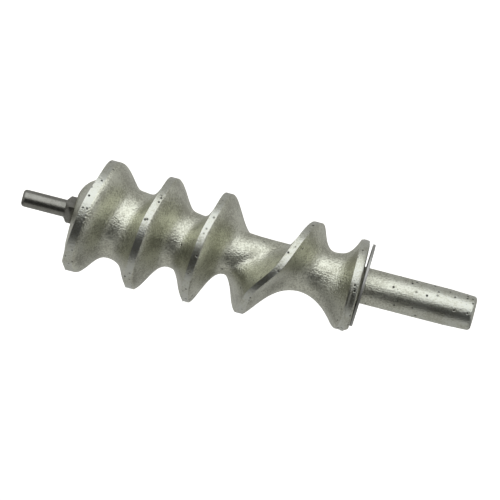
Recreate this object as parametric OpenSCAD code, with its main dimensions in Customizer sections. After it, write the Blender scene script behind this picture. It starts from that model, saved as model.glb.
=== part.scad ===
// Feed worm of a size 32 meat mincer. A cast iron screw body carries a steel knife
// spindle in its nose and a loose thrust washer on its shank. The worm's axis is X,
// its front face is at X = 0, the knife spindle points to -X and the shank to +X.

/* [Flight lead] */
// Distance from the front face to the middle of the first land, below the axis
first_land_x = 7.4; // [6:0.1:9]
// Lead of the first turn, at the knife end
lead_1 = 44; // [41:0.2:52]
// Lead of the second turn
lead_2 = 41.2; // [38:0.2:48]
// Lead of the third turn
lead_3 = 38.5; // [36:0.2:46]
// Lead of the fourth turn, under the hopper
lead_4 = 71.6; // [62:0.1:85]
// Lead of the last half-turn, where the flight runs into the thrust disc
lead_end = 3.1; // [2:0.1:5]

/* [Flights] */
// Radius over the flights at the knife end
flight_front_r = 42.3; // [38:0.1:46]
// Radius over the flight where it meets the thrust disc
flight_rear_r = 32.4; // [31.5:0.1:36]
// How far the cast flights and thrust disc sit below the shank's axis
flight_offset = 1.4; // [0:0.1:2]
// Width of the ground land in the middle turns
land_w = 4.8; // [3:0.1:7]
// Width of the ground land at both ends
end_land_w = 6.2; // [4:0.1:8]

/* [Core] */
// Radius of the core behind the nose
core_front_r = 27; // [22:0.1:29]
// Radius of the core under the hopper
core_rear_r = 15.3; // [13.2:0.1:17]
// How much the core widens again up to the thrust disc
core_flare = 4.6; // [0:0.1:8]
// Radius of the flat on the nose that the knife spindle stands on
nose_flat_r = 9.6; // [9:0.1:12]
// Length of the rounded nose
nose_len = 18; // [8:0.5:20]

/* [Thrust disc and shank] */
// Radius of the thrust disc
disc_r = 32.7; // [32.5:0.1:35]
// Thickness of the thrust disc at its rim
disc_rim_w = 5.2; // [3:0.1:7]
// Radius of the hollow that leads from the core up to the thrust disc
disc_fillet_r = 15; // [8:0.5:17]
// Rounding of the thrust disc's rear edge
disc_round = 3; // [1:0.1:4]
// Radius of the shank
shank_r = 13.1; // [13:0.1:15]
// Length of the shank behind the thrust face
shank_len = 83.6; // [60:0.1:120]
// Length of the shank's tapered lead-in
lead_in_len = 20; // [8:0.5:30]
// Radius at the end of the lead-in, before its corner is rounded
lead_in_r = 12.4; // [11.5:0.1:12.9]
// Rounding of the shank's end
shank_round = 2.8; // [1:0.1:4]
// Width across the flats of the drive socket in the shank's end
socket_af = 13; // [10:0.1:14]
// Depth of the drive socket
socket_depth = 24; // [12:0.5:40]

/* [Knife spindle] */
// Diameter of the journal that runs in the cutting plate
journal_d = 12.5; // [10:0.1:13.5]
// Length of the journal in front of the square
journal_len = 31.3; // [20:0.1:45]
// Rounding of the journal's tip
journal_round = 2.6; // [1:0.1:4]
// Width across the flats of the knife square
square_af = 14; // [13.6:0.1:15]
// Length of the knife square
square_len = 6.7; // [5:0.1:20]
// Length over which the square's corners are turned down to the journal
square_cone_len = 3.4; // [2:0.1:4.5]
// Turn of the square about the axis, in degrees
square_turn = 34; // [0:1:90]
// Diameter of the tang inside the casting
tang_d = 14; // [10:0.1:15]
// Length of the tang inside the casting
tang_len = 36; // [20:1:50]
// Clearance all round the tang
tang_fit = 0.05; // [0.03:0.01:0.1]

/* [Thrust washer] */
// Radius of the washer
washer_r = 30.2; // [26:0.1:31]
// Thickness of the washer
washer_t = 1.9; // [1:0.1:3]
// Clearance between the washer's bore and the shank
washer_fit = 0.8; // [0.7:0.05:1.2]
// Lean of the washer on the shank, in degrees
washer_lean = 2; // [1:0.1:4]

/* [Hidden] */

// Facets: columns round the worm, and rows from one land to the next
COLUMNS = 48;
ROWS = 14;
$fn = 96;

// Share of a turn's lead that each eighth of it takes, from below, past the front, over the
// top and down the back: the mould's two halves don't quite meet, so a flight steps forward
// just past its lowest point. The turn under the hopper takes most of its lead in front.
turn_leads = [lead_1, lead_2, lead_3, lead_4];
screw_shares = [-0.07, 0.06, 0.175, 0.135, 0.175, 0.175, 0.175, 0.175];
hopper_shares = [0.04, 0.25, 0.15, 0.11, 0.08, 0.11, 0.14, 0.12];
turn_shares = [screw_shares, screw_shares, screw_shares, hopper_shares];
end_shares = [0.8, 0.14, 0.04, 0.02];
TURNS = len(turn_leads);
STEPS = len(screw_shares);
step_a = 360 / STEPS;
END_STEP = STEPS * TURNS + len(end_shares);
flight_end_a = step_a * END_STEP;
// Turns in front of the front face, and lead of each step past the flight's end
AHEAD = 2;
idle_lead = 0.05;

// Reach of a flight's back, down to the core, and its reach under the hopper
back_reach = 22;
hopper_back_reach = 46;
// Hollowness of the back, and roundness of its shoulder at the top of each turn
back_power = 4;
back_shoulders = [2.2, 1.5, 1.6, 1];
// Reach of a flight's front above the axis, and its share of the channel below the axis
front_reach = 13;
front_share = 0.56;
front_power = 3;
// Reach of both on the nose, where there is no channel, and the angle over which it starts
nose_reach = 10;
nose_blend_a = 120;
// Where the core starts to fall from the front radius to the rear radius, and over what length
core_fall_x = 15;
core_fall_len = 130;
// Where it starts to widen again
core_flare_x = 165;
// Reach of the last flight's steep back, up to the thrust face
end_back_w = 0.5;
// The flight fades into the thrust disc over this angle
fade_a = 90;
// Radius inside the shank where the flight's surface is closed
closing_r = 11.5;
// A row this close to the front face is taken as lying on it
snap = 0.15;

// Fillet at the root of the shank
root_fillet = 1.2;
// Steps of a rounding, and of the hollow in front of the thrust disc
ARC = 6;
HOLLOW_ARC = 12;
// Air left between the washer and what it leans on
touch = 0.1;

function clamp01(v) = max(0, min(1, v));
function ease(v) = (1 - cos(180 * clamp01(v))) / 2;
function mix(a, b, v) = a + (b - a) * v;
function sum_to(list, n) = n <= 0 ? 0 : list[n - 1] + sum_to(list, n - 1);

// Lead of step q, counted from the first land below the axis
function step_lead(q) =
    q < 0 ? lead_1 * screw_shares[q - STEPS * floor(q / STEPS)]
    : q < STEPS * TURNS ? turn_leads[floor(q / STEPS)] * turn_shares[floor(q / STEPS)][q % STEPS]
    : q < END_STEP ? lead_end * end_shares[q - STEPS * TURNS]
    : idle_lead;
FIRST_STEP = -STEPS * AHEAD - 1;
LAST_STEP = STEPS * (TURNS + 1) + 1;
step_leads = [for (q = [FIRST_STEP : LAST_STEP]) step_lead(q)];
lead_ahead = sum_to(step_leads, -FIRST_STEP);
function station_x(q) = first_land_x - lead_ahead + sum_to(step_leads, q - FIRST_STEP);
// Slope at a station: the harmonic mean of its neighbours, and level where the lead turns back
function station_slope(q) =
    let (before = step_leads[q - 1 - FIRST_STEP], after = step_leads[q - FIRST_STEP])
    before * after <= 0 ? 0 : 2 * before * after / (before + after);
stations = [for (q = [FIRST_STEP + 1 : LAST_STEP]) [station_x(q), station_slope(q)]];
function hermite(p, q, v) =
    p[0] * (1 + 2 * v) * (1 - v) * (1 - v) + p[1] * v * (1 - v) * (1 - v)
    + q[0] * v * v * (3 - 2 * v) + q[1] * v * v * (v - 1);
// Middle of the land at angle a along the helix
function land_x(a) =
    let (q = floor(a / step_a), n = q - FIRST_STEP - 1)
    hermite(stations[n], stations[n + 1], a / step_a - q);

// The flight's end is flush with the thrust face
thrust_x = station_x(END_STEP) + end_land_w / 2 + end_back_w;
shank_end_x = thrust_x + shank_len;

// Radius over the flight at angle a, easing into the thrust disc past its end
function flight_r(a) =
    let (x = max(0, land_x(a)), fall = pow(clamp01(x / thrust_x), 3))
    mix(flight_front_r, flight_rear_r, fall) + flight_offset * cos(a) * ease(a / 360);
function land_r(a) = mix(flight_r(a), closing_r, ease((a - flight_end_a) / fade_a));
function land_half(a) =
    mix(end_land_w, land_w, sin(180 * clamp01(a / flight_end_a))) / 2
    * (1 - ease((a - flight_end_a) / fade_a));

// The core: a rounded nose, a fall to the thin part under the hopper, and a flare behind it
function core_r(x) =
    let (
        body = mix(core_front_r, core_rear_r, ease((x - core_fall_x) / core_fall_len))
            + core_flare * ease((x - core_flare_x) / (thrust_x - core_flare_x)),
        ahead = 1 - clamp01(x / nose_len)
    )
    mix(nose_flat_r, body, sqrt(1 - ahead * ahead));

// Channels close between these two angles, once the land ahead has faded into the disc
close_a = 360 * (TURNS - 0.5);
full_a = 360 * TURNS;
function closing(a) = ease((a - close_a) / (full_a - close_a));

// The next land, seen across the channel behind the land at angle a, and its front edge
function next_r(a) = a < full_a ? land_r(a + 360) : closing_r;
function next_edge(a) =
    let (back = land_x(a) + land_half(a) + end_back_w)
    a < full_a ? mix(max(back, land_x(a + 360) - land_half(a + 360)), back, closing(a)) : back;
function next_middle(a) = a < full_a ? max(next_edge(a), land_x(a + 360)) : next_edge(a);

// Shape of a flank: 1 at the land, 0 at the flank's foot
function flank(distance, reach, shoulder, power) = pow(1 - pow(clamp01(distance / reach), shoulder), power);
function below_axis(a) = (1 + cos(a)) / 2;
function on_nose(a) = ease(-a / nose_blend_a);
function under_hopper(a) = abs(a - 360 * (TURNS - 1)) < 180 ? below_axis(a) : 0;
// How far the back of this land and the front of the next one reach into a channel of width w
function back_w(a, w) =
    min(w, mix(mix(back_reach, hopper_back_reach, under_hopper(a)), nose_reach, on_nose(a)));
function front_w(a, w) =
    min(w, mix(mix(front_reach, front_share * w, below_axis(a)), nose_reach, on_nose(a)));
function back_shoulder(a) =
    let (t = max(0, min(TURNS - 1, a / 360 - 0.5)), n = min(floor(t), TURNS - 2))
    mix(back_shoulders[n], back_shoulders[n + 1], t - n);

// Radius of the surface at x, in the channel behind the land at angle a
function channel_r(a, x) =
    let (
        x0 = land_x(a) + land_half(a),
        x1 = next_edge(a),
        floor_r = mix(core_r(x), closing_r, closing(a)),
        back = flank(x - x0, back_w(a, x1 - x0), back_shoulder(a), back_power),
        front = flank(x1 - x, front_w(a, x1 - x0), 1, front_power)
    )
    x <= x0 ? land_r(a)
    : x >= x1 ? next_r(a)
    : floor_r + (land_r(a) - floor_r) * back + (max(next_r(a), floor_r) - floor_r) * front;

function row_x(a, j) =
    j == 0 ? land_x(a)
    : j == ROWS ? next_middle(a)
    : mix(land_x(a) + land_half(a), next_edge(a), ease((j - 1) / (ROWS - 2)));

// The channelled surface is one sheet of rows that follow the flight. Row n belongs to turn
// floor(n / ROWS), counted from the first turn in front of the front face.
LAST = ROWS * (TURNS + 1 + AHEAD);
function row_angle(i, n) = 360 * (floor(min(n, LAST - 1) / ROWS) - AHEAD + i / COLUMNS);
function row_at(i, n) = row_x(row_angle(i, n), n == LAST ? ROWS : n % ROWS);
function column_a(i) = 360 * i / COLUMNS;
// Radius at which the front face cuts the sheet
function front_r(i) =
    let (a = column_a(i))
    land_x(a) <= 0 ? channel_r(a, 0)
    : land_x(a - 360) <= 0 ? channel_r(a - 360, 0)
    : channel_r(a - 720, 0);
function on_face(i, n) = row_at(i, n) < snap;
function sheet_point(i, n) =
    let (
        x = on_face(i, n) ? 0 : row_at(i, n),
        r = on_face(i, n) ? front_r(i) : n == LAST ? closing_r : channel_r(row_angle(i, n), x)
    )
    [x, -r * sin(column_a(i)), -r * cos(column_a(i))];

module channelled_body() {
    width = LAST + 1;
    front = width * COLUMNS;
    back = front + 1;
    points = [
        for (i = [0 : COLUMNS - 1]) for (n = [0 : LAST]) sheet_point(i, n),
        [0, 0, 0],
        [thrust_x - disc_rim_w / 2, 0, 0]
    ];
    // A point on the front face is shared by every row that the face cuts off
    cut_off = [for (i = [0 : COLUMNS - 1]) [for (n = [0 : LAST]) on_face(i, n)]];
    function corner(i, n) =
        i == COLUMNS ? corner(0, min(n + ROWS, LAST))
        : width * i + (cut_off[i][n] ? 0 : n);
    function is_face(f) = f[0] != f[1] && f[1] != f[2] && f[2] != f[0];
    sides = [
        for (i = [0 : COLUMNS - 1]) for (n = [0 : LAST - 1])
            let (a = corner(i, n), b = corner(i, n + 1), c = corner(i + 1, n + 1), d = corner(i + 1, n))
            for (f = [[a, c, b], [a, d, c]]) if (is_face(f)) f
    ];
    ends = [
        for (i = [0 : COLUMNS - 1])
            for (f = [
                [front, corner(i + 1, 0), corner(i, 0)],
                [back, corner(i, LAST), corner(i + 1, LAST)]
            ]) f
    ];
    polyhedron(points, concat(sides, ends), convexity = 10);
}

// Turns a profile of [distance along X, radius] about X
module turned() {
    rotate([90, 0, 90]) rotate_extrude() children();
}

module thrust_disc() {
    rim_x = thrust_x - disc_rim_w;
    hollow_x = rim_x - disc_fillet_r;
    turned() polygon(concat(
        [[0, hollow_x], [disc_r - disc_fillet_r, hollow_x]],
        [for (i = [1 : HOLLOW_ARC])
            let (a = 90 * i / HOLLOW_ARC)
            [disc_r - disc_fillet_r * cos(a), hollow_x + disc_fillet_r * sin(a)]],
        [for (i = [0 : ARC])
            let (a = 90 * i / ARC)
            [disc_r - disc_round * (1 - cos(a)), thrust_x - disc_round * (1 - sin(a))]],
        [[0, thrust_x]]
    ));
}

module shank() {
    turned() polygon(concat(
        [[0, thrust_x - disc_rim_w], [shank_r + root_fillet, thrust_x - disc_rim_w]],
        [for (i = [0 : ARC])
            let (a = 90 * i / ARC)
            [shank_r + root_fillet * (1 - sin(a)), thrust_x + root_fillet * (1 - cos(a))]],
        [[shank_r, shank_end_x - lead_in_len]],
        [for (i = [0 : ARC])
            let (a = 90 * i / ARC)
            [lead_in_r - shank_round * (1 - cos(a)), shank_end_x - shank_round * (1 - sin(a))]],
        [[0, shank_end_x]]
    ));
}

module square_bar(af, x0, x1) {
    translate([x0, 0, 0]) rotate([square_turn, 0, 0])
        translate([0, -af / 2, -af / 2]) cube([x1 - x0, af, af]);
}

module drive_socket() {
    square_bar(socket_af, shank_end_x - socket_depth, shank_end_x + 1);
}

module rod(r, x0, x1) {
    translate([x0, 0, 0]) rotate([0, 90, 0]) cylinder(r = r, h = x1 - x0);
}

module worm() {
    color("#8f9184") difference() {
        union() {
            channelled_body();
            translate([0, 0, -flight_offset]) thrust_disc();
            shank();
        }
        rod(tang_d / 2 + tang_fit, -1, tang_len + tang_fit);
        drive_socket();
    }
}

module journal() {
    tip_x = -square_len - journal_len;
    turned() polygon(concat(
        [[0, tip_x]],
        [for (i = [0 : ARC])
            let (a = 90 * i / ARC)
            [journal_d / 2 - journal_round * (1 - sin(a)), tip_x + journal_round * (1 - cos(a))]],
        [[journal_d / 2, 0], [0, 0]]
    ));
}

// The square, with its corners turned down to a cone that starts at the journal
module knife_square() {
    corner_r = square_af * sqrt(0.5) + 1;
    intersection() {
        square_bar(square_af, -square_len, 0);
        turned() polygon([
            [0, -square_len],
            [journal_d / 2, -square_len],
            [corner_r, -square_len + square_cone_len],
            [corner_r, 0],
            [0, 0]
        ]);
    }
}

module knife_spindle() {
    color("#5b5650") {
        journal();
        knife_square();
        rod(tang_d / 2, 0, tang_len);
    }
}

module thrust_washer() {
    bore_r = shank_r / cos(washer_lean) + washer_fit;
    // The washer leans in X and Z, so that its lower rim meets the thrust face
    middle_x = thrust_x + touch + washer_r * sin(washer_lean) + washer_t / 2 * cos(washer_lean);
    color("#9a9c96") translate([middle_x, 0, 0]) rotate([0, washer_lean, 0])
        difference() {
            rod(washer_r, -washer_t / 2, washer_t / 2);
            rod(bore_r, -washer_t, washer_t);
        }
}

worm();
knife_spindle();
thrust_washer();
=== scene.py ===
"""Looks of a meat mincer's feed worm: a tinned casting, its knife spindle and its thrust washer.

The worm lies along X. Its front face is at X = 0, the spindle points to -X and the shank to +X.
Sizes are in millimetres in the classes, and meshes are in metres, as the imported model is.
"""

from __future__ import annotations

import logging
import math
from dataclasses import dataclass
from enum import Enum
from typing import Any, Callable, Iterable

import bpy
import numpy as np
from mathutils import Matrix, Vector

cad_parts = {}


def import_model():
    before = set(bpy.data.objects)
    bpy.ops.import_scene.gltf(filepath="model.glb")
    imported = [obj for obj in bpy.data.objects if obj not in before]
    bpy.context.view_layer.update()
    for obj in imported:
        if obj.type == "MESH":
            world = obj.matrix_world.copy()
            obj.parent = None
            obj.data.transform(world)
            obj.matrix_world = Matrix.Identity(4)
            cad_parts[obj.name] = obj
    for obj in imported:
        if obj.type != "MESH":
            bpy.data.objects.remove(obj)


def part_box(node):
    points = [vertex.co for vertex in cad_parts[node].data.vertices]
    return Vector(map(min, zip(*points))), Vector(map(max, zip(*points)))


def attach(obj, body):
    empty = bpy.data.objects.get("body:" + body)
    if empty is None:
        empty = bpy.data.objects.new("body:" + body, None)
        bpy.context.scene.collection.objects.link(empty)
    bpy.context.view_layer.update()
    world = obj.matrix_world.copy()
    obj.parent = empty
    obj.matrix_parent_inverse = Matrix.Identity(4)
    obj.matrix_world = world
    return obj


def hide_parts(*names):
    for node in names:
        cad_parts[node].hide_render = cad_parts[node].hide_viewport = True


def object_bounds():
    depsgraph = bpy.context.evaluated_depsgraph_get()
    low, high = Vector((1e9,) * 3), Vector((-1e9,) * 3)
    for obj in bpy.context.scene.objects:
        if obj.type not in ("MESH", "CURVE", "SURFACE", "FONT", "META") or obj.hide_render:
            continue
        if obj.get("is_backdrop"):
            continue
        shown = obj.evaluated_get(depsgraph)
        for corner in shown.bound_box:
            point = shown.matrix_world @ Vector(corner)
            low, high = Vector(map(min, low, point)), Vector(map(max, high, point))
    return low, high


LOG = logging.getLogger("feed_worm")
MM = 0.001
BODY = "root"
# How far a tool reaches past the face that it cuts, in millimetres
PAST = 1.0
# Two places closer than this are one, in metres
SAME_PLACE = 0.01 * MM

Profile = list[tuple[float, float]]


# --- helpers -----------------------------------------------------------------------------------


class Boolean(Enum):
    """What a tool does to a piece."""

    UNION = "UNION"
    DIFFERENCE = "DIFFERENCE"
    INTERSECT = "INTERSECT"


def linear(hex_colour: str) -> tuple[float, float, float, float]:
    """Turns an sRGB hex colour into a linear one.

    Args:
        hex_colour: six hex digits, such as "8f9184".

    Returns:
        Red, green, blue and alpha, as a shader socket takes them.
    """
    def channel(digits: str) -> float:
        """One channel, from two hex digits."""
        value = int(digits, 16) / 255
        return value / 12.92 if value <= 0.04045 else ((value + 0.055) / 1.055) ** 2.4

    return (*(channel(hex_colour[i:i + 2]) for i in (0, 2, 4)), 1.0)


def add_node(
    tree: bpy.types.NodeTree,
    kind: str,
    settings: dict[str, Any] | None = None,
    links: dict[str | int, bpy.types.NodeSocket] | None = None,
) -> bpy.types.Node:
    """Adds a shader node with its settings and links.

    Args:
        tree: the material's node tree.
        kind: the node's type, such as "ShaderNodeTexNoise".
        settings: values by attribute name, or by input name or number.
        links: output sockets by the input name or number that they feed.

    Returns:
        The new node.
    """
    node = tree.nodes.new(kind)
    for name, value in (settings or {}).items():
        if isinstance(name, str) and hasattr(node, name):
            setattr(node, name, value)
        else:
            node.inputs[name].default_value = value
    for name, source in (links or {}).items():
        tree.links.new(source, node.inputs[name])
    return node


def deselect() -> None:
    """Leaves object mode with nothing selected."""
    if bpy.context.object and bpy.context.object.mode != "OBJECT":
        bpy.ops.object.mode_set(mode="OBJECT")
    bpy.ops.object.select_all(action="DESELECT")


def pick(piece: bpy.types.Object) -> bpy.types.Object:
    """Selects one piece alone and makes it active."""
    deselect()
    piece.select_set(True)
    bpy.context.view_layer.objects.active = piece
    return piece


def edit(piece: bpy.types.Object) -> None:
    """Opens a piece in edit mode with all of it selected."""
    pick(piece)
    bpy.ops.object.mode_set(mode="EDIT")
    bpy.ops.mesh.select_all(action="SELECT")


def apply_modifier(piece: bpy.types.Object, kind: str, **settings: Any) -> None:
    """Adds a modifier with its settings and applies it.

    Args:
        piece: the piece to change.
        kind: the modifier's type, such as "BEVEL".
        settings: the modifier's settings by name.
    """
    pick(piece)
    modifier = piece.modifiers.new(kind.title(), kind)
    for name, value in settings.items():
        setattr(modifier, name, value)
    bpy.ops.object.modifier_apply(modifier=modifier.name)


def combine(piece: bpy.types.Object, tool: bpy.types.Object, operation: Boolean) -> None:
    """Joins a piece with a tool by a boolean and deletes the tool.

    Args:
        piece: the piece to change.
        tool: the solid to add, cut away or keep the inside of.
        operation: which of the three it is.
    """
    apply_modifier(piece, "BOOLEAN", object=tool, operation=operation.value, solver="EXACT")
    bpy.data.objects.remove(tool)


def arc(
    centre_x: float, centre_r: float, radius: float, start: float, end: float, steps: int
) -> Profile:
    """Points along an arc in the (x, r) plane of a turned profile.

    Args:
        centre_x: the arc's centre along the axis.
        centre_r: the arc's centre away from the axis.
        radius: the arc's radius.
        start: the angle of the first point, in degrees from +X towards +r.
        end: the angle of the last point.
        steps: how many points after the first.

    Returns:
        Pairs of x and r.
    """
    angles = [math.radians(start + (end - start) * i / steps) for i in range(steps + 1)]
    return [(centre_x + radius * math.cos(a), centre_r + radius * math.sin(a)) for a in angles]


def turned(name: str, profile: Profile, sides: int, ring: bool = False) -> bpy.types.Object:
    """Turns a profile about X, as on a lathe, by extruding and scaling a circle.

    Args:
        name: the piece's name.
        profile: pairs of x and r in millimetres, in order along the profile.
        sides: how many sides the circle has.
        ring: True closes the profile on itself, False closes both its ends with a face.

    Returns:
        The closed piece, with its place in its mesh.
    """
    first_x, first_r = profile[0]
    deselect()
    bpy.ops.mesh.primitive_circle_add(
        vertices=sides, radius=first_r * MM,
        location=(first_x * MM, 0, 0), rotation=(0, math.pi / 2, 0),
    )
    piece = bpy.context.object
    piece.name = name
    pick(piece)
    bpy.ops.object.transform_apply(location=True, rotation=True, scale=True)
    edit(piece)
    if not ring:
        bpy.ops.mesh.edge_face_add()
        bpy.ops.mesh.select_all(action="SELECT")
    x, r = first_x, first_r
    route = [*profile[1:], profile[0]] if ring else profile[1:]
    for next_x, next_r in route:
        step = {"value": ((next_x - x) * MM, 0, 0)}
        if ring:
            bpy.ops.mesh.extrude_edges_move(TRANSFORM_OT_translate=step)
        else:
            bpy.ops.mesh.extrude_region_move(TRANSFORM_OT_translate=step)
        scale = next_r / r
        bpy.ops.transform.resize(value=(1, scale, scale), center_override=(next_x * MM, 0, 0))
        x, r = next_x, next_r
    bpy.ops.mesh.select_all(action="SELECT")
    bpy.ops.mesh.remove_doubles(threshold=0.001 * MM)
    bpy.ops.mesh.normals_make_consistent(inside=False)
    deselect()
    return piece


def square_bar(name: str, af: float, start: float, end: float, turn: float) -> bpy.types.Object:
    """Adds a square bar along X.

    Args:
        name: the piece's name.
        af: its width across the flats in millimetres.
        start: where it starts along X.
        end: where it ends.
        turn: its turn about X, in degrees.

    Returns:
        The bar, with its place in its mesh.
    """
    deselect()
    bpy.ops.mesh.primitive_cube_add(size=1, location=((start + end) / 2 * MM, 0, 0))
    bar = pick(bpy.context.object)
    bar.name = name
    bar.scale = ((end - start) * MM, af * MM, af * MM)
    bar.rotation_euler = (math.radians(turn), 0, 0)
    bpy.ops.object.transform_apply(location=True, rotation=True, scale=True)
    return bar


def shade(piece: bpy.types.Object, degrees: float) -> None:
    """Shades a piece smooth, but keeps edges sharper than this angle."""
    pick(piece)
    bpy.ops.object.shade_smooth_by_angle(angle=math.radians(degrees))


# --- finishes ----------------------------------------------------------------------------------


@dataclass(frozen=True)
class Metal:
    """A metal finish. The name says what the metal is and how its surface was made.

    Attributes:
        name: the material's name.
        light: sRGB hex colour of the clean metal.
        dark: sRGB hex colour of its stains.
        ground: sRGB hex colour where it is ground or turned bright.
        roughness: typical roughness of the clean metal.
        ground_roughness: roughness where it is ground or turned bright.
        stain_mm: size of the stains.
        grain_mm: size of the grain, drawn coarser than real so that it shows.
        grain_depth_mm: height of the grain.
        ground_grain: share of that height that grinding or turning leaves.
        pit_mm: spacing of the pits.
        pit_share: share of the places that hold a pit.
        cast_pits: how many of those pits show where the metal isn't ground.
        pit_rim: where a pit starts and where it is deepest, as shares of the pits' spacing.
        pit_faint: how strong the faintest pit is.
        pit_colour: sRGB hex colour at a pit's bottom.
        stain_noise: detail and roughness of the stains.
        grain_noise: detail and roughness of the grain.
        tones: sums of stain and grain that give the dark and the light colour.
        ground_least: how bright grinding leaves the darkest stain.
    """

    name: str
    light: str
    dark: str
    ground: str
    roughness: float
    ground_roughness: float
    stain_mm: float
    grain_mm: float
    grain_depth_mm: float
    ground_grain: float
    pit_mm: float
    pit_share: float
    cast_pits: float = 0.05
    pit_rim: tuple[float, float] = (0.26, 0.16)
    pit_faint: float = 0.5
    pit_colour: str = "1c1b18"
    stain_noise: tuple[float, float] = (5.0, 0.6)
    grain_noise: tuple[float, float] = (1.5, 0.6)
    tones: tuple[float, float] = (0.85, 1.12)
    ground_least: float = 0.2

    def material(self) -> bpy.types.Material:
        """Builds the material.

        Returns:
            A procedural material on Object coordinates.
        """
        material = bpy.data.materials.new(self.name)
        material.use_nodes = True
        tree = material.node_tree
        tree.nodes.clear()
        place = add_node(tree, "ShaderNodeTexCoord").outputs["Object"]
        patterns = ((self.stain_mm, self.stain_noise), (self.grain_mm, self.grain_noise))
        stain, grain = (
            add_node(
                tree, "ShaderNodeTexNoise",
                {"Scale": 1 / (size * MM), "Detail": detail, "Roughness": roughness},
                {"Vector": place},
            ).outputs["Fac"]
            for size, (detail, roughness) in patterns
        )
        ground = add_node(tree, "ShaderNodeAttribute", {"attribute_name": "ground"}).outputs["Fac"]
        pits = self.pits(tree, place, ground)
        both = add_node(
            tree, "ShaderNodeMath", {"operation": "ADD"}, {0: stain, 1: grain}
        ).outputs[0]
        low, high = self.tones
        tone = add_node(
            tree, "ShaderNodeMapRange", {"From Min": low, "From Max": high}, {"Value": both}
        ).outputs["Result"]
        colour = add_node(
            tree, "ShaderNodeMix",
            {"data_type": "RGBA", 6: linear(self.dark), 7: linear(self.light)}, {0: tone},
        ).outputs[2]
        clean = add_node(
            tree, "ShaderNodeMapRange", {"To Min": self.ground_least}, {"Value": tone}
        ).outputs["Result"]
        bright = add_node(
            tree, "ShaderNodeMath", {"operation": "MULTIPLY"}, {0: ground, 1: clean}
        ).outputs[0]
        colour = add_node(
            tree, "ShaderNodeMix",
            {"data_type": "RGBA", 7: linear(self.ground)}, {0: bright, 6: colour},
        ).outputs[2]
        pitted = add_node(
            tree, "ShaderNodeMix",
            {"data_type": "RGBA", 7: linear(self.pit_colour)}, {0: pits, 6: colour},
        ).outputs[2]
        rough = add_node(
            tree, "ShaderNodeMapRange",
            {"To Min": self.roughness, "To Max": self.ground_roughness}, {"Value": ground},
        ).outputs["Result"]
        relief = add_node(
            tree, "ShaderNodeMath", {"operation": "SUBTRACT"}, {0: grain, 1: pits}
        ).outputs[0]
        strength = add_node(
            tree, "ShaderNodeMapRange",
            {"To Min": 1.0, "To Max": self.ground_grain}, {"Value": ground},
        ).outputs["Result"]
        bump = add_node(
            tree, "ShaderNodeBump",
            {"Distance": self.grain_depth_mm * MM}, {"Height": relief, "Strength": strength},
        )
        metal = add_node(
            tree, "ShaderNodeBsdfPrincipled", {"Metallic": 1.0},
            {"Base Color": pitted, "Roughness": rough, "Normal": bump.outputs["Normal"]},
        )
        add_node(tree, "ShaderNodeOutputMaterial", links={"Surface": metal.outputs["BSDF"]})
        return material

    def pits(
        self, tree: bpy.types.NodeTree, place: bpy.types.NodeSocket, ground: bpy.types.NodeSocket
    ) -> bpy.types.NodeSocket:
        """Adds scattered pits: a few cells of a Voronoi pattern, dark at their centres.

        Args:
            tree: the material's node tree.
            place: the coordinates that the pattern follows.
            ground: 1 where the metal is ground or turned, which lays more pits open.

        Returns:
            A socket that is 1 in a pit and 0 elsewhere.
        """
        cells = add_node(
            tree, "ShaderNodeTexVoronoi", {"Scale": 1 / (self.pit_mm * MM)}, {"Vector": place}
        )
        share = add_node(
            tree, "ShaderNodeMapRange",
            {"To Min": self.pit_share * self.cast_pits, "To Max": self.pit_share},
            {"Value": ground},
        ).outputs["Result"]
        cell = add_node(
            tree, "ShaderNodeSeparateColor", links={"Color": cells.outputs["Color"]}
        ).outputs
        chosen = add_node(
            tree, "ShaderNodeMath", {"operation": "LESS_THAN"}, {0: cell["Red"], 1: share}
        ).outputs[0]
        depth = add_node(
            tree, "ShaderNodeMapRange", {"To Min": self.pit_faint}, {"Value": cell["Green"]}
        ).outputs["Result"]
        near = add_node(
            tree, "ShaderNodeMapRange",
            {"From Min": self.pit_rim[0], "From Max": self.pit_rim[1]},
            {"Value": cells.outputs["Distance"]},
        ).outputs["Result"]
        pit = chosen
        for factor in (near, depth):
            pit = add_node(
                tree, "ShaderNodeMath", {"operation": "MULTIPLY"}, {0: pit, 1: factor}
            ).outputs[0]
        return pit


# Grey iron cast in sand and dipped in tin: a grainy, half-dull grey with an olive tint and dark
# casting pits, brighter and more neutral where its lands are ground and its shank is turned.
# Its grain is drawn coarser than real, so that it shows
TINNED_CASTING = Metal(
    name="tinned_cast_iron", light="dadbcb", dark="b2b2a2", ground="c4c6be",
    roughness=0.34, ground_roughness=0.29, stain_mm=14.0,
    grain_mm=1.2, grain_depth_mm=0.5, ground_grain=0.4, pit_mm=4.0, pit_share=0.8,
)
# Carbon steel, turned and left to darken: smooth, nearly neutral. Its grain is drawn coarser
# than real, so that it shows
DARK_STEEL = Metal(
    name="turned_carbon_steel", light="93928b", dark="807f78", ground="93928b",
    roughness=0.3, ground_roughness=0.3, stain_mm=6.0,
    grain_mm=1.0, grain_depth_mm=0.08, ground_grain=1.0, pit_mm=4.0, pit_share=0.15,
)
# Cold rolled steel plate: pale, even and neutral. Its grain is drawn coarser than real as well
PALE_PLATE = Metal(
    name="rolled_steel_plate", light="b1b1ad", dark="a8a8a4", ground="b1b1ad",
    roughness=0.5, ground_roughness=0.5, stain_mm=9.0,
    grain_mm=0.7, grain_depth_mm=0.03, ground_grain=1.0, pit_mm=6.0, pit_share=0.03,
)


def paper(name: str, colour: str, glow: float) -> bpy.types.Material:
    """A plain matt studio surface.

    Args:
        name: the material's name.
        colour: sRGB hex colour.
        glow: light that comes through it from behind.

    Returns:
        The material.
    """
    material = bpy.data.materials.new(name)
    material.use_nodes = True
    shader = material.node_tree.nodes["Principled BSDF"]
    shader.inputs["Base Color"].default_value = linear(colour)
    shader.inputs["Roughness"].default_value = 0.9
    shader.inputs["Emission Color"].default_value = linear(colour)
    shader.inputs["Emission Strength"].default_value = glow
    return material


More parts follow.
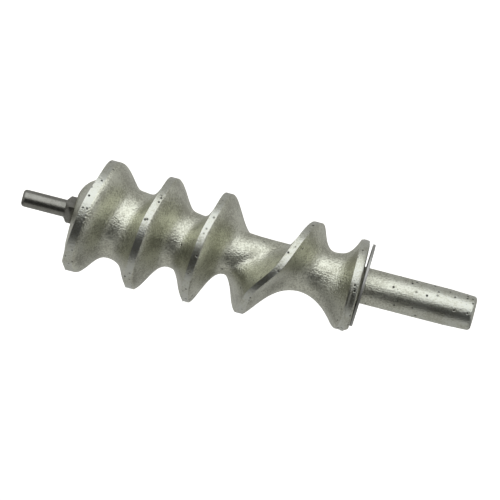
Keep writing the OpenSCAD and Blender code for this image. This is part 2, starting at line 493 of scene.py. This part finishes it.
# --- the worm's form ---------------------------------------------------------------------------


def clamp01(v: np.ndarray) -> np.ndarray:
    """Limits values to 0 to 1."""
    return np.clip(v, 0.0, 1.0)


def ease(v: np.ndarray) -> np.ndarray:
    """A smooth step from 0 to 1."""
    return (1 - np.cos(np.pi * clamp01(v))) / 2


def mix(a: Any, b: Any, v: Any) -> Any:
    """Mixes a and b by v."""
    return a + (b - a) * v


def flank(
    distance: np.ndarray, reach: np.ndarray, shoulder: np.ndarray, power: float
) -> np.ndarray:
    """Shape of a flank: 1 at the land and 0 at the flank's foot."""
    return (1 - clamp01(distance / reach) ** shoulder) ** power


def below_axis(a: np.ndarray) -> np.ndarray:
    """1 straight below the axis and 0 straight above it."""
    return (1 + np.cos(np.radians(a))) / 2


@dataclass(frozen=True)
class ScrewForm:
    """The flights and the core as one surface, in millimetres and degrees.

    Angle a runs along the helix: 0 is below the axis at the first land, and each turn adds 360.

    Attributes:
        first_land_x: middle of the first land, below the axis.
        leads: lead of each turn.
        lead_end: how far the flight still moves on past the last full turn.
        screw_shares: shares of a turn's lead that its eighths take, as cast.
        hopper_shares: the same in the last turn, which opens under the hopper.
        end_shares: the same for the flight's end.
        ahead: turns of the same surface that shape the nose.
        idle_lead: lead of each eighth once the flight has ended.
        flight_front_r, flight_rear_r: radius over the flight at both ends.
        flight_offset: how far the flight lies below the core's axis.
        land_w, end_land_w: width of the land in the middle and at both ends.
        end_back_w: wall between the flight's end and the thrust face.
        fade_a: angle over which the flight fades past its end.
        core_front_r, core_rear_r: the core's radius at both ends.
        core_fall_x, core_fall_len: where the core starts to fall, and over what length.
        core_flare, core_flare_x: how much it flares behind, and from where.
        nose_flat_r, nose_len: the nose's flat end and its rounded length.
        closing_r: radius inside the thrust disc, where the last channel has closed.
        back_reach, hopper_back_reach: how far a flight's back reaches into the channel.
        back_power, back_shoulders: steepness of the backs, and the roundness of each turn's.
        front_reach, front_share, front_power: reach and steepness of the flights' fronts.
        nose_reach, nose_blend_a: reach of the flanks on the nose, and the angle it blends over.
    """

    first_land_x: float = 7.4
    leads: tuple[float, ...] = (44.0, 41.2, 38.5, 71.6)
    lead_end: float = 3.1
    screw_shares: tuple[float, ...] = (-0.07, 0.06, 0.175, 0.135, 0.175, 0.175, 0.175, 0.175)
    hopper_shares: tuple[float, ...] = (0.04, 0.25, 0.15, 0.11, 0.08, 0.11, 0.14, 0.12)
    end_shares: tuple[float, ...] = (0.8, 0.14, 0.04, 0.02)
    ahead: int = 2
    idle_lead: float = 0.05
    flight_front_r: float = 42.3
    flight_rear_r: float = 32.4
    flight_offset: float = 1.4
    land_w: float = 4.8
    end_land_w: float = 6.2
    end_back_w: float = 0.5
    fade_a: float = 90.0
    core_front_r: float = 27.0
    core_rear_r: float = 15.3
    core_fall_x: float = 15.0
    core_fall_len: float = 130.0
    core_flare: float = 4.6
    core_flare_x: float = 165.0
    nose_flat_r: float = 9.6
    nose_len: float = 18.0
    closing_r: float = 11.5
    back_reach: float = 22.0
    hopper_back_reach: float = 46.0
    back_power: float = 4.0
    back_shoulders: tuple[float, ...] = (2.2, 1.5, 1.6, 1.0)
    front_reach: float = 13.0
    front_share: float = 0.56
    front_power: float = 3.0
    nose_reach: float = 10.0
    nose_blend_a: float = 120.0

    @property
    def turns(self) -> int:
        """Whole turns between the first land and the last."""
        return len(self.leads)

    @property
    def steps(self) -> int:
        """Steps of the lead in a turn."""
        return len(self.screw_shares)

    @property
    def first_step(self) -> int:
        """The step that the stations start from."""
        return -self.steps * self.ahead - 1

    @property
    def flight_end_a(self) -> float:
        """Angle at which the last flight ends."""
        return 360 / self.steps * (self.steps * self.turns + len(self.end_shares))

    def step_leads(self) -> np.ndarray:
        """Lead of each step, from the first step to one turn past the last land."""
        before = [self.leads[0] * s for s in self.screw_shares] * (self.ahead + 1)
        shares = [self.screw_shares] * (self.turns - 1) + [self.hopper_shares]
        turns = [lead * s for lead, row in zip(self.leads, shares) for s in row]
        end = [self.lead_end * s for s in self.end_shares]
        idle = [self.idle_lead] * (self.steps + 2 - len(end))
        return np.array(before[-(self.steps * self.ahead + 1):] + turns + end + idle)

    def land_x(self, a: np.ndarray) -> np.ndarray:
        """Middle of the land at angle a along the helix."""
        leads = self.step_leads()
        start = self.first_land_x - leads[: -self.first_step].sum()
        x = start + np.concatenate([[0.0], np.cumsum(leads)])[1:-1]
        before, after = leads[:-1], leads[1:]
        product = before * after
        total = np.where(product <= 0, 1.0, before + after)
        slope = np.where(product <= 0, 0.0, 2 * product / total)
        q = np.floor(a / (360 / self.steps))
        n = (q - self.first_step - 1).astype(int)
        v = a / (360 / self.steps) - q
        return (
            x[n] * (1 + 2 * v) * (1 - v) ** 2 + slope[n] * v * (1 - v) ** 2
            + x[n + 1] * v ** 2 * (3 - 2 * v) + slope[n + 1] * v ** 2 * (v - 1)
        )

    @property
    def thrust_x(self) -> float:
        """The thrust face, flush with the flight's end."""
        end = float(self.land_x(np.array([self.flight_end_a]))[0])
        return end + self.end_land_w / 2 + self.end_back_w

    def faded(self, a: np.ndarray) -> np.ndarray:
        """How far the flight has faded past its end."""
        return ease((a - self.flight_end_a) / self.fade_a)

    def land_r(self, a: np.ndarray) -> np.ndarray:
        """Radius over the flight at angle a."""
        fall = clamp01(self.land_x(a) / self.thrust_x) ** 3
        r = mix(self.flight_front_r, self.flight_rear_r, fall)
        r = r + self.flight_offset * np.cos(np.radians(a)) * ease(a / 360)
        return mix(r, self.closing_r, self.faded(a))

    def land_half(self, a: np.ndarray) -> np.ndarray:
        """Half the land's width at angle a."""
        middle = np.sin(np.pi * clamp01(a / self.flight_end_a))
        return mix(self.end_land_w, self.land_w, middle) / 2 * (1 - self.faded(a))

    def core_r(self, x: np.ndarray) -> np.ndarray:
        """The core: a rounded nose, a fall to the thin part under the hopper, and a flare."""
        fall = ease((x - self.core_fall_x) / self.core_fall_len)
        flare = ease((x - self.core_flare_x) / (self.thrust_x - self.core_flare_x))
        body = mix(self.core_front_r, self.core_rear_r, fall) + self.core_flare * flare
        ahead = 1 - clamp01(x / self.nose_len)
        return mix(self.nose_flat_r, body, np.sqrt(1 - ahead ** 2))

    def closing(self, a: np.ndarray) -> np.ndarray:
        """How far the last channel has closed."""
        return ease((a - 360 * (self.turns - 0.5)) / 180)

    def next_r(self, a: np.ndarray) -> np.ndarray:
        """Radius of the next land, across the channel behind the land at angle a."""
        within = a < 360 * self.turns
        return np.where(within, self.land_r(np.where(within, a + 360, a)), self.closing_r)

    def next_edge(self, a: np.ndarray) -> np.ndarray:
        """Front edge of the next land."""
        back = self.land_x(a) + self.land_half(a) + self.end_back_w
        within = a < 360 * self.turns
        ahead = np.where(within, a + 360, a)
        edge = np.maximum(back, self.land_x(ahead) - self.land_half(ahead))
        return np.where(within, mix(edge, back, self.closing(a)), back)

    def next_middle(self, a: np.ndarray) -> np.ndarray:
        """Middle of the next land."""
        within = a < 360 * self.turns
        middle = np.maximum(self.next_edge(a), self.land_x(np.where(within, a + 360, a)))
        return np.where(within, middle, self.next_edge(a))

    def back_shoulder(self, a: np.ndarray) -> np.ndarray:
        """Roundness of a flight's back, given at the top of each turn."""
        return np.interp(a / 360 - 0.5, range(self.turns), self.back_shoulders)

    def channel_r(self, a: np.ndarray, x: np.ndarray) -> np.ndarray:
        """Radius of the surface at x, in the channel behind the land at angle a."""
        x0 = self.land_x(a) + self.land_half(a)
        x1 = self.next_edge(a)
        width = np.maximum(x1 - x0, 0.01)
        on_nose = ease(-a / self.nose_blend_a)
        below = below_axis(a)
        hopper = np.where(np.abs(a - 360 * (self.turns - 1)) < 180, below, 0.0)
        back_w = mix(mix(self.back_reach, self.hopper_back_reach, hopper), self.nose_reach, on_nose)
        front_w = mix(self.front_reach, self.front_share * width, below)
        front_w = mix(front_w, self.nose_reach, on_nose)
        floor_r = mix(self.core_r(x), self.closing_r, self.closing(a))
        back = flank(x - x0, np.minimum(width, back_w), self.back_shoulder(a), self.back_power)
        front = flank(x1 - x, np.minimum(width, front_w), 1.0, self.front_power)
        land, ahead = self.land_r(a), self.next_r(a)
        r = floor_r + (land - floor_r) * back + (np.maximum(ahead, floor_r) - floor_r) * front
        return np.where(x <= x0, land, np.where(x >= x1, ahead, r))


@dataclass(frozen=True)
class FeedWorm:
    """The casting: nose, flights, core, thrust disc and shank in one piece.

    Attributes:
        form: the flights and the core.
        columns, rows: points round the axis, and from one land to the next.
        land_rows, rim_rows: rows on half a land, and across the thrust face's edge.
        disc_r, disc_rim_w: the thrust disc and its rim.
        disc_hollow_r, disc_round: the hollow before the rim, and the rim's rear edge.
        end_round: rounding of the flight's own rear edge.
        blend: how far the disc and the flight melt into each other.
        shank_r, shank_len: the shank.
        lead_in_len, lead_in_r, shank_round: its lead-in and the rounding of its end.
        root_fillet: fillet between the thrust face and the shank.
        shank_ground, land_ground: how bright the shank is turned and the lands are ground.
        land_start_a, nose_edge: where grinding starts on the first land.
        socket_af, socket_depth, socket_turn: the drive socket in the shank's end.
        bore_r, bore_depth: the hole for the spindle's tang.
        sides: sides of the turned parts.
    """

    form: ScrewForm = ScrewForm()
    columns: int = 180
    rows: int = 44
    land_rows: int = 4
    rim_rows: int = 10
    disc_r: float = 32.7
    disc_rim_w: float = 5.2
    disc_hollow_r: float = 15.0
    disc_round: float = 3.0
    end_round: float = 1.2
    blend: float = 2.5
    shank_r: float = 13.1
    shank_len: float = 83.6
    lead_in_len: float = 20.0
    lead_in_r: float = 12.4
    shank_round: float = 2.8
    root_fillet: float = 1.2
    shank_ground: float = 0.8
    land_ground: float = 0.9
    land_start_a: float = -40.0
    nose_edge: float = 0.5
    socket_af: float = 13.0
    socket_depth: float = 24.0
    socket_turn: float = 34.0
    bore_r: float = 7.05
    bore_depth: float = 36.05
    sides: int = 128

    def rounded(self, x: np.ndarray, radius: float) -> np.ndarray:
        """How much a rounding of the rear edge takes off at x."""
        t = clamp01((x - self.form.thrust_x + radius) / radius)
        return radius * (1 - np.sqrt(1 - t ** 2))

    def disc_profile(self, x: np.ndarray, a: np.ndarray) -> np.ndarray:
        """Radius, about the shank's axis, of the thrust disc and the hollow that leads up to it."""
        hollow_x = self.form.thrust_x - self.disc_rim_w - self.disc_hollow_r
        rise = np.sqrt(1 - clamp01((x - hollow_x) / self.disc_hollow_r) ** 2)
        r = self.disc_r - self.disc_hollow_r * rise - self.rounded(x, self.disc_round)
        offset, turn = self.form.flight_offset, np.radians(a)
        around = offset * np.cos(turn) + np.sqrt(r ** 2 - (offset * np.sin(turn)) ** 2)
        return np.where(x > hollow_x, around, 0.0)

    def row_x(self, a: np.ndarray, j: np.ndarray) -> np.ndarray:
        """Place of row j between the middles of two lands: close rows at the lands' edges."""
        n = self.land_rows
        start = self.form.land_x(a)
        edge = start + self.form.land_half(a)
        far_edge, end = self.form.next_edge(a), self.form.next_middle(a)
        across = ease((j - n) / (self.rows - 2 * n))
        ahead = mix(far_edge, end, (j - self.rows + n) / n)
        between = np.where(j >= self.rows - n, ahead, mix(edge, far_edge, across))
        return np.where(j <= n, mix(start, edge, j / n), between)

    def sheet(self) -> tuple[np.ndarray, np.ndarray]:
        """Places of the surface's points, and which of them lie on a ground land.

        Returns:
            An array of (columns + 1, rows in all, 3) in millimetres, and an array of land shares.
        """
        last = self.rows * (self.form.turns + 1 + self.form.ahead)
        end = last + self.rim_rows + 1
        i, n = np.meshgrid(np.arange(self.columns + 1), np.arange(end + 1), indexing="ij")
        turn = np.floor(np.minimum(n, last - 1) / self.rows) - self.form.ahead
        a = 360 * (turn + i / self.columns)
        a = np.minimum(a, 360 * (self.form.turns + 1) - 0.001)
        j = np.where(n >= last, self.rows, n % self.rows)
        x = self.row_x(a, j)
        across = np.sin(np.radians(90 * np.clip((n - last) / self.rim_rows, 0, 1)))
        x = np.where(n == end, self.form.thrust_x + PAST, mix(x, self.form.thrust_x, across))
        r = np.where(n >= last, self.form.closing_r, self.form.channel_r(a, x))
        r = r - self.rounded(x, self.end_round)
        disc = self.disc_profile(x, a)
        overlap = np.maximum(self.blend - np.abs(r - disc), 0) / self.blend
        r = np.where(disc > 0, np.maximum(r, disc) + overlap ** 2 * self.blend / 4, r)
        angle = np.radians(360 * i / self.columns)
        points = np.stack([x, -r * np.sin(angle), -r * np.cos(angle)], axis=-1)
        ahead = (j >= self.rows - self.land_rows) & (n < last)
        land_a = np.where(ahead, a + 360, a)
        ground_a = (land_a > self.land_start_a) & (land_a < self.form.flight_end_a)
        on_land = ((j <= self.land_rows) | ahead) & ground_a & (x > self.nose_edge)
        land = np.where(on_land, self.land_ground, 0.0)
        follow = np.arange(end + 1) + self.rows
        follow = np.where(follow > last, np.maximum(np.arange(end + 1), last), follow)
        points[self.columns] = points[0][follow]
        land[self.columns] = land[0][follow]
        return points, land

    def screw(self) -> bpy.types.Object:
        """Shapes a grid into the flights and core, and closes it at both ends."""
        points, land = self.sheet()
        columns, rows = points.shape[0] - 1, points.shape[1] - 1
        deselect()
        bpy.ops.mesh.primitive_grid_add(x_subdivisions=columns, y_subdivisions=rows, size=2)
        piece = bpy.context.object
        piece.name = "feed_worm"
        mesh = piece.data
        flat = np.empty(len(mesh.vertices) * 3)
        mesh.vertices.foreach_get("co", flat)
        flat = flat.reshape(-1, 3)
        i = np.rint((flat[:, 0] + 1) / 2 * columns).astype(int)
        n = np.rint((flat[:, 1] + 1) / 2 * rows).astype(int)
        mesh.vertices.foreach_set("co", (points[i, n] * MM).ravel())
        mesh.attributes.new("ground", "FLOAT", "POINT").data.foreach_set("value", land[i, n])
        mesh.update()
        edit(piece)
        for x, inner, outer in ((0.0, True, False), (self.form.thrust_x, False, True)):
            bpy.ops.mesh.select_all(action="SELECT")
            bpy.ops.mesh.bisect(
                plane_co=(x * MM, 0, 0), plane_no=(1, 0, 0), clear_inner=inner, clear_outer=outer
            )
        bpy.ops.mesh.select_all(action="SELECT")
        bpy.ops.mesh.remove_doubles(threshold=2 * SAME_PLACE)
        for x in (0.0, self.form.thrust_x):
            self.close_end(piece, x)
        bpy.ops.mesh.select_all(action="SELECT")
        bpy.ops.mesh.normals_make_consistent(inside=False)
        deselect()
        return piece

    def close_end(self, piece: bpy.types.Object, x: float) -> None:
        """Closes the open edge at x with a face."""
        bpy.ops.mesh.select_mode(type="VERT")
        bpy.ops.mesh.select_all(action="DESELECT")
        bpy.ops.object.mode_set(mode="OBJECT")
        for vertex in piece.data.vertices:
            vertex.select = abs(vertex.co.x - x * MM) < SAME_PLACE
        bpy.ops.object.mode_set(mode="EDIT")
        bpy.ops.mesh.select_non_manifold(
            extend=False, use_wire=False, use_boundary=True,
            use_multi_face=False, use_non_contiguous=False, use_verts=False,
        )
        bpy.ops.object.mode_set(mode="OBJECT")
        for vertex in piece.data.vertices:
            vertex.select = vertex.select and abs(vertex.co.x - x * MM) < SAME_PLACE
        bpy.ops.object.mode_set(mode="EDIT")
        bpy.ops.mesh.edge_face_add()

    def shank(self) -> bpy.types.Object:
        """Turns the shank, with a fillet at its root, a lead-in and a rounded end."""
        root, end = self.form.thrust_x, self.form.thrust_x + self.shank_len
        profile = [(root - self.disc_rim_w / 2, self.shank_r + self.root_fillet)]
        fillet = self.root_fillet
        profile += arc(root + fillet, self.shank_r + fillet, fillet, 180, 270, steps=6)
        profile += [(end - self.lead_in_len, self.shank_r)]
        edge = self.shank_round
        profile += arc(end - edge, self.lead_in_r - edge, edge, 90, 0, steps=8)
        return turned("shank", profile, self.sides)

    def build(self) -> bpy.types.Object:
        """Builds the casting as one piece."""
        piece = self.screw()
        combine(piece, self.shank(), Boolean.UNION)
        end = self.form.thrust_x + self.shank_len
        socket = square_bar(
            "socket", self.socket_af, end - self.socket_depth, end + PAST, self.socket_turn
        )
        combine(piece, socket, Boolean.DIFFERENCE)
        bore = turned("bore", [(-PAST, self.bore_r), (self.bore_depth, self.bore_r)], self.sides)
        combine(piece, bore, Boolean.DIFFERENCE)
        self.mark_shank(piece)
        shade(piece, degrees=40)
        return piece

    def mark_shank(self, piece: bpy.types.Object) -> None:
        """Marks the shank as turned bright, next to the ground lands."""
        places = np.empty(len(piece.data.vertices) * 3)
        piece.data.vertices.foreach_get("co", places)
        ground = np.empty(len(piece.data.vertices))
        piece.data.attributes["ground"].data.foreach_get("value", ground)
        ground[places[::3] > (self.form.thrust_x + self.root_fillet) * MM] = self.shank_ground
        piece.data.attributes["ground"].data.foreach_set("value", ground)


@dataclass(frozen=True)
class KnifeSpindle:
    """The steel spindle: a journal with a rounded tip, a square and the tang in the casting.

    Attributes:
        journal_r, journal_len, tip_round: the journal and the rounding of its tip.
        square_af, square_len, square_turn: the square, and its turn about the axis in degrees.
        cone_len: length of the cone that its corners are turned down to.
        tang_r, tang_len: the tang.
        edge_round: rounding of the square's edges.
        sides: sides of the turned parts.
    """

    journal_r: float = 6.25
    journal_len: float = 31.3
    tip_round: float = 2.6
    square_af: float = 14.0
    square_len: float = 6.7
    cone_len: float = 3.4
    square_turn: float = 34.0
    tang_r: float = 7.0
    tang_len: float = 36.0
    edge_round: float = 0.35
    sides: int = 96

    def build(self) -> bpy.types.Object:
        """Builds the spindle as one piece."""
        square = square_bar("spindle", self.square_af, -self.square_len, 0, self.square_turn)
        corner_r = self.square_af * math.sqrt(0.5) + PAST
        front = -self.square_len
        cone = [(front, self.journal_r), (front + self.cone_len, corner_r), (PAST, corner_r)]
        combine(square, turned("cone", cone, self.sides), Boolean.INTERSECT)
        apply_modifier(
            square, "BEVEL", width=self.edge_round * MM, segments=2, limit_method="ANGLE"
        )
        tip = front - self.journal_len
        journal = [(tip, 0.5)]
        edge = self.tip_round
        journal += arc(tip + edge, self.journal_r - edge, edge, 180, 90, steps=8)
        journal += [(0.5, self.journal_r)]
        combine(square, turned("journal", journal, self.sides), Boolean.UNION)
        tang = turned("tang", [(-PAST, self.tang_r), (self.tang_len, self.tang_r)], self.sides)
        combine(square, tang, Boolean.UNION)
        shade(square, degrees=35)
        return square


@dataclass(frozen=True)
class ThrustWasher:
    """The loose washer: a flat ring with rounded edges, leaning on the shank.

    Attributes:
        outer_r, bore_r, thickness: the ring.
        edge_round: rounding of its edges.
        lean: how far it leans, in degrees.
        sides: its sides.
    """

    outer_r: float = 30.2
    bore_r: float = 13.91
    thickness: float = 1.9
    edge_round: float = 0.3
    lean: float = 2.0
    sides: int = 160

    def build(self) -> bpy.types.Object:
        """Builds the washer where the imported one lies."""
        half, e = self.thickness / 2, self.edge_round
        profile = [(-half + e, self.bore_r), (half - e, self.bore_r), (half, self.bore_r + e)]
        profile += arc(half - e, self.outer_r - e, e, 0, 90, steps=3)
        profile += arc(-half + e, self.outer_r - e, e, 90, 180, steps=3)
        profile += [(-half, self.bore_r + e)]
        piece = pick(turned("washer", profile, self.sides, ring=True))
        low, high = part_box("thrust_washer")
        piece.location = (low + high) / 2
        piece.rotation_euler = (0, math.radians(self.lean), 0)
        bpy.ops.object.transform_apply(location=True, rotation=True, scale=True)
        shade(piece, degrees=50)
        return piece


# --- studio ------------------------------------------------------------------------------------


@dataclass(frozen=True)
class Studio:
    """Floor, soft light and camera.

    Attributes:
        distance: from the camera to the worm's axis, in metres.
        view_width: width of the view at the axis, in metres.
        roll: how far the axis slopes down to the right, in degrees.
        aim_x: the point on the axis that the camera looks at, in metres.
        aim_z: how far above the axis the camera looks, in metres.
        room: brightness of the room that the metal mirrors.
        shade: brightness of its shaded part, in front of the worm and below it.
        under: share of the room's brightness that is left low down at both sides.
        below: how much brighter the room is straight below the worm.
        front_y: where the shade starts in front of the worm, and where it is full. The ways into
            the room run from -1 to 1.
        low_z: the same from level down.
        middle_x: the same from the sides to the middle.
        deep_z: where the room straight below starts, and where it is full.
        outer_x: where that gives way to the sides.
        key_distance: from the soft key light to the worm, in metres.
        key_height: how high the key light stands, in degrees above the floor.
        key_side: how far it stands to the knife end, in degrees.
        key_size: its width and height, in metres.
        key_watts: its power.
        key_colour: its slightly cool colour.
        floor_size: the floor's width and depth, wider than any view, in metres.
        floor_sweep: size of the sweep from the floor up to the backdrop.
        paper_glow: light that comes through the paper from behind.
    """

    distance: float = 5.68
    view_width: float = 0.355
    roll: float = 14.5
    aim_x: float = 0.1278
    aim_z: float = 0.0042
    room: float = 0.475
    shade: float = 0.042
    under: float = 0.35
    below: float = 1.1
    front_y: tuple[float, float] = (-0.28, -0.6)
    low_z: tuple[float, float] = (0.08, -0.1)
    middle_x: tuple[float, float] = (0.7, 0.3)
    deep_z: tuple[float, float] = (-0.3, -0.6)
    outer_x: tuple[float, float] = (0.35, 0.65)
    key_distance: float = 2.2
    key_height: float = 43.0
    key_side: float = 15.0
    key_size: tuple[float, float] = (4.2, 3.0)
    key_watts: float = 41.5
    key_colour: tuple[float, float, float] = (0.94, 0.965, 1.0)
    floor_size: tuple[float, float] = (16.0, 15.0)
    floor_sweep: float = 2.0
    paper_glow: float = 0.68

    def camera(self) -> None:
        """Sets the camera square to the axis, turned so that the shank end hangs lower."""
        data = bpy.data.cameras.new("camera")
        data.lens = data.sensor_width * self.distance / self.view_width
        data.clip_end = 50
        camera = bpy.data.objects.new("camera", data)
        bpy.context.scene.collection.objects.link(camera)
        roll = math.radians(self.roll)
        right = Vector((math.cos(roll), 0, math.sin(roll)))
        up = Vector((-math.sin(roll), 0, math.cos(roll)))
        back = Vector((0, -1, 0))
        turn = Matrix((right, up, back)).transposed().to_4x4()
        camera.matrix_world = Matrix.Translation((self.aim_x, -self.distance, self.aim_z)) @ turn
        bpy.context.scene.camera = camera

    def key_light(self) -> None:
        """Adds the soft key light, which the camera doesn't see."""
        data = bpy.data.lights.new("key", "AREA")
        data.shape = "RECTANGLE"
        data.size, data.size_y = self.key_size
        data.energy = self.key_watts
        data.color = self.key_colour
        light = bpy.data.objects.new("key", data)
        bpy.context.scene.collection.objects.link(light)
        height, side = math.radians(self.key_height), math.radians(self.key_side)
        level = math.cos(height)
        away = Vector((-math.sin(side) * level, -math.cos(side) * level, math.sin(height)))
        light.location = Vector((self.aim_x, 0, 0)) + away * self.key_distance
        light.rotation_mode = "QUATERNION"
        light.rotation_quaternion = (-away).to_track_quat("-Z", "Y")
        light.visible_camera = False

    def surroundings(self) -> None:
        """Sets the plain room: even all round, and shaded in front of the worm and below it."""
        world = bpy.data.worlds.new("room")
        world.use_nodes = True
        tree = world.node_tree
        way = add_node(
            tree, "ShaderNodeSeparateXYZ",
            links={"Vector": add_node(tree, "ShaderNodeTexCoord").outputs["Generated"]},
        ).outputs
        aside = add_node(
            tree, "ShaderNodeMath", {"operation": "ABSOLUTE"}, {0: way["X"]}
        ).outputs[0]
        bands = (
            (way["Y"], self.front_y), (way["Z"], self.low_z), (aside, self.middle_x),
            (way["Z"], self.deep_z), (aside, self.outer_x),
        )
        front, low, middle, deep, outer = (
            add_node(
                tree, "ShaderNodeMapRange",
                {"interpolation_type": "SMOOTHSTEP", "From Min": start, "From Max": full},
                {"Value": source},
            ).outputs["Result"]
            for source, (start, full) in bands
        )
        shaded = front
        for factor in (low, middle):
            shaded = add_node(
                tree, "ShaderNodeMath", {"operation": "MULTIPLY"}, {0: shaded, 1: factor}
            ).outputs[0]
        strength = add_node(
            tree, "ShaderNodeMapRange",
            {"To Min": self.room, "To Max": self.shade}, {"Value": shaded},
        ).outputs["Result"]
        side = add_node(
            tree, "ShaderNodeMapRange",
            {"To Min": self.below, "To Max": self.under}, {"Value": outer},
        ).outputs["Result"]
        kept = add_node(
            tree, "ShaderNodeMapRange", {"To Min": 1.0}, {"Value": deep, "To Max": side}
        ).outputs["Result"]
        strength = add_node(
            tree, "ShaderNodeMath", {"operation": "MULTIPLY"}, {0: strength, 1: kept}
        ).outputs[0]
        background = tree.nodes["Background"]
        background.inputs["Color"].default_value = (1.0, 1.0, 1.0, 1.0)
        tree.links.new(strength, background.inputs["Strength"])
        bpy.context.scene.world = world

    def floor(self, height: float) -> None:
        """Lays a pale floor that sweeps up behind the worm.

        Args:
            height: the floor's height, in metres.
        """
        deselect()
        bpy.ops.mesh.primitive_plane_add(size=1, location=(self.aim_x, 0.0, height))
        floor = bpy.context.object
        floor.name = "studio_floor"
        floor.scale = (*self.floor_size, 1)
        pick(floor)
        bpy.ops.object.transform_apply(location=True, rotation=True, scale=True)
        edit(floor)
        bpy.ops.mesh.select_mode(type="EDGE")
        bpy.ops.mesh.select_all(action="DESELECT")
        bpy.ops.object.mode_set(mode="OBJECT")
        far = max(v.co.y for v in floor.data.vertices)
        for e in floor.data.edges:
            e.select = all(abs(floor.data.vertices[k].co.y - far) < SAME_PLACE for k in e.vertices)
        bpy.ops.object.mode_set(mode="EDIT")
        rise = (0, 0, self.floor_size[1] / 2)
        bpy.ops.mesh.extrude_edges_move(TRANSFORM_OT_translate={"value": rise})
        deselect()
        apply_modifier(floor, "BEVEL", width=self.floor_sweep, segments=24, limit_method="ANGLE")
        shade(floor, degrees=40)
        floor.data.materials.append(paper("studio_paper", "f6f6f4", self.paper_glow))
        floor.visible_glossy = False
        floor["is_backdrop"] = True

    def build(self, floor_z: float) -> None:
        """Builds the studio round the worm."""
        bpy.context.scene.view_settings.view_transform = "Standard"
        self.surroundings()
        self.camera()
        self.floor(floor_z)
        self.key_light()


# --- assembly ----------------------------------------------------------------------------------


@dataclass(frozen=True)
class Part:
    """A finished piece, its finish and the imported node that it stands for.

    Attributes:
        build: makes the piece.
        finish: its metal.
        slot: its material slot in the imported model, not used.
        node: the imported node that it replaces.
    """

    build: Callable[[], bpy.types.Object]
    finish: Metal
    slot: str
    node: str

    def make(self) -> bpy.types.Object:
        """Builds, dresses and seats the piece."""
        piece = self.build()
        piece.data.materials.clear()
        piece.data.materials.append(self.finish.material())
        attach(piece, BODY)
        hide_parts(self.node)
        LOG.info("%s: %d faces, in %s", piece.name, len(piece.data.polygons), self.finish.name)
        return piece


def parts() -> Iterable[Part]:
    """The worm's pieces in order."""
    yield Part(FeedWorm().build, TINNED_CASTING, "casting", "worm")
    yield Part(KnifeSpindle().build, DARK_STEEL, "spindle", "knife_spindle")
    yield Part(ThrustWasher().build, PALE_PLATE, "washer", "thrust_washer")


def main() -> None:
    """Builds the worm and its studio."""
    logging.basicConfig(level=logging.INFO, format="%(message)s")
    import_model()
    cad_low, cad_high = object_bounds()
    for part in parts():
        part.make()
    Studio().build(cad_low.z)


if __name__ == "__main__":
    main()
